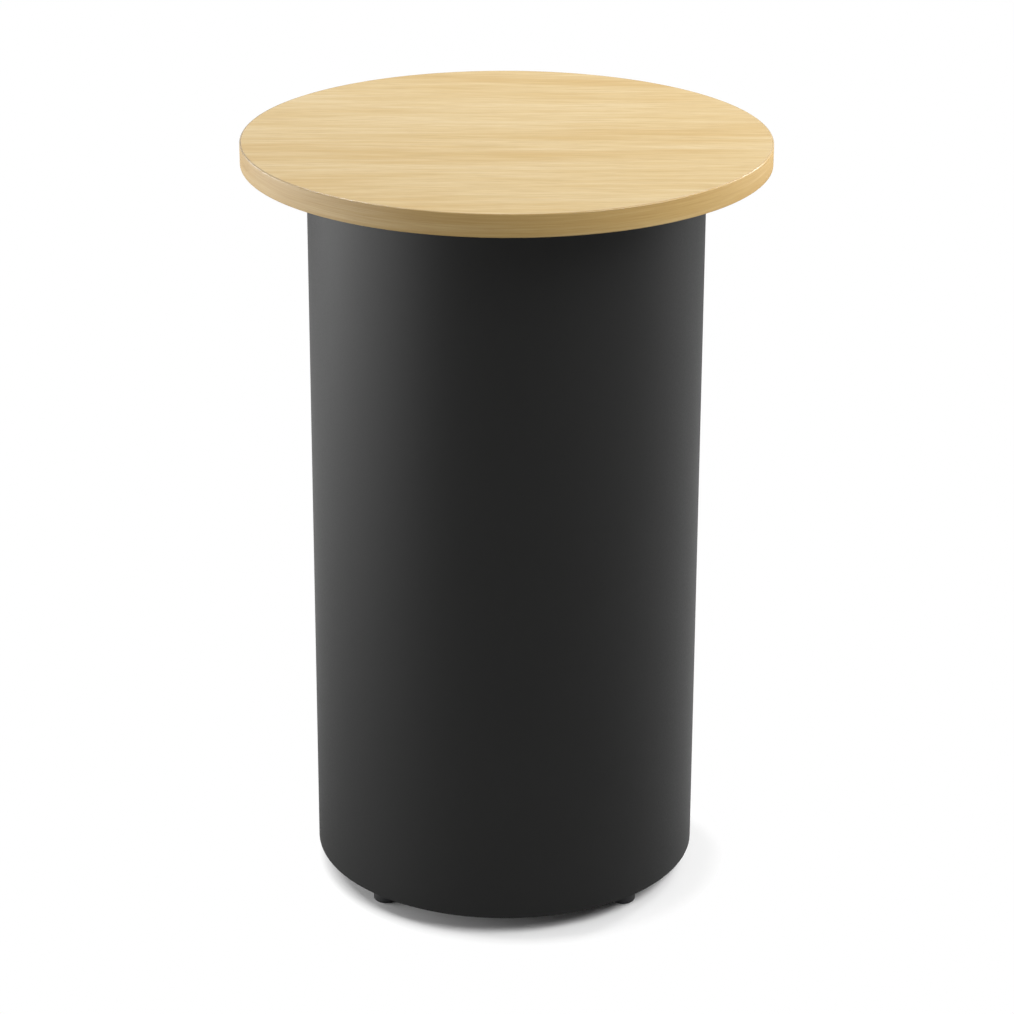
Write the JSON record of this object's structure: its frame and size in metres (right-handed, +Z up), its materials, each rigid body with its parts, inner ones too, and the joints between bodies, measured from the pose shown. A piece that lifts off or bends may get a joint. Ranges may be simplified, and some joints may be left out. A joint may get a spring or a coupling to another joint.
{
  "type": "standing meeting table",
  "caption": "Round standing-height meeting table: a thick laminated top on a full-height steel drum with screw-in levelling feet.",
  "frame": {"origin": "the drum's axis at floor level, with every levelling foot screwed fully in", "axes": "+Z up, -Y the front, +Y the back with the drum's folded seam, +X to the right seen from the front"},
  "size_m": [0.6999, 0.7, 1.04],
  "materials": {
    "oak_laminate": "matt pale oak decor",
    "oak_edging": "matt oak decor edging",
    "core_board": "raw particle board",
    "backing_sheet": "matt balancing sheet",
    "powder_coat": "fine-textured charcoal powder coat",
    "zinc_steel": "zinc plated",
    "black_nylon": "moulded black nylon"
  },
  "bodies": {
    "table": {"top_board": "core_board", "top_laminate": "oak_laminate", "backing_laminate": "backing_sheet", "edge_band": "oak_edging", "top_screws": "zinc_steel", "drum_shell": "powder_coat", "head_channel": "powder_coat", "head_arm_front": "powder_coat", "head_arm_back": "powder_coat", "base_ring": "powder_coat", "foot_weld_nuts": "powder_coat", "base_gusset_front_left_1": "powder_coat", "base_gusset_front_left_2": "powder_coat", "base_gusset_front_right_1": "powder_coat", "base_gusset_front_right_2": "powder_coat", "base_gusset_back_right_1": "powder_coat", "base_gusset_back_right_2": "powder_coat", "base_gusset_back_left_1": "powder_coat", "base_gusset_back_left_2": "powder_coat"},
    "pad_front_left": {"foot_pad_front_left": "black_nylon"},
    "stem_front_left": {"foot_stem_front_left": "zinc_steel"},
    "pad_front_right": {"foot_pad_front_right": "black_nylon"},
    "stem_front_right": {"foot_stem_front_right": "zinc_steel"},
    "pad_back_right": {"foot_pad_back_right": "black_nylon"},
    "stem_back_right": {"foot_stem_back_right": "zinc_steel"},
    "pad_back_left": {"foot_pad_back_left": "black_nylon"},
    "stem_back_left": {"foot_stem_back_left": "zinc_steel"}
  },
  "joints": [
    {"name": "foot_height_front_left", "type": "slide", "parent": "table", "child": "pad_front_left", "axis": [0, 0, -1], "range_m": [0, 0.012]},
    {"name": "foot_turn_front_left", "type": "hinge", "parent": "pad_front_left", "child": "stem_front_left", "pos_m": [-0.16334, -0.16334, 0.022], "axis": [0, 0, -1], "range_deg": [0, 2880]},
    {"name": "foot_height_front_right", "type": "slide", "parent": "table", "child": "pad_front_right", "axis": [0, 0, -1], "range_m": [0, 0.012]},
    {"name": "foot_turn_front_right", "type": "hinge", "parent": "pad_front_right", "child": "stem_front_right", "pos_m": [0.16334, -0.16334, 0.022], "axis": [0, 0, -1], "range_deg": [0, 2880]},
    {"name": "foot_height_back_right", "type": "slide", "parent": "table", "child": "pad_back_right", "axis": [0, 0, -1], "range_m": [0, 0.012]},
    {"name": "foot_turn_back_right", "type": "hinge", "parent": "pad_back_right", "child": "stem_back_right", "pos_m": [0.16334, 0.16334, 0.022], "axis": [0, 0, -1], "range_deg": [0, 2880]},
    {"name": "foot_height_back_left", "type": "slide", "parent": "table", "child": "pad_back_left", "axis": [0, 0, -1], "range_m": [0, 0.012]},
    {"name": "foot_turn_back_left", "type": "hinge", "parent": "pad_back_left", "child": "stem_back_left", "pos_m": [-0.16334, 0.16334, 0.022], "axis": [0, 0, -1], "range_deg": [0, 2880]}
  ],
  "couplings": [
    {"joint": "foot_turn_front_left", "follows": "foot_height_front_left", "rad_per_m": 4188.8},
    {"joint": "foot_turn_front_right", "follows": "foot_height_front_right", "rad_per_m": 4188.8},
    {"joint": "foot_turn_back_right", "follows": "foot_height_back_right", "rad_per_m": 4188.8},
    {"joint": "foot_turn_back_left", "follows": "foot_height_back_left", "rad_per_m": 4188.8}
  ]
}
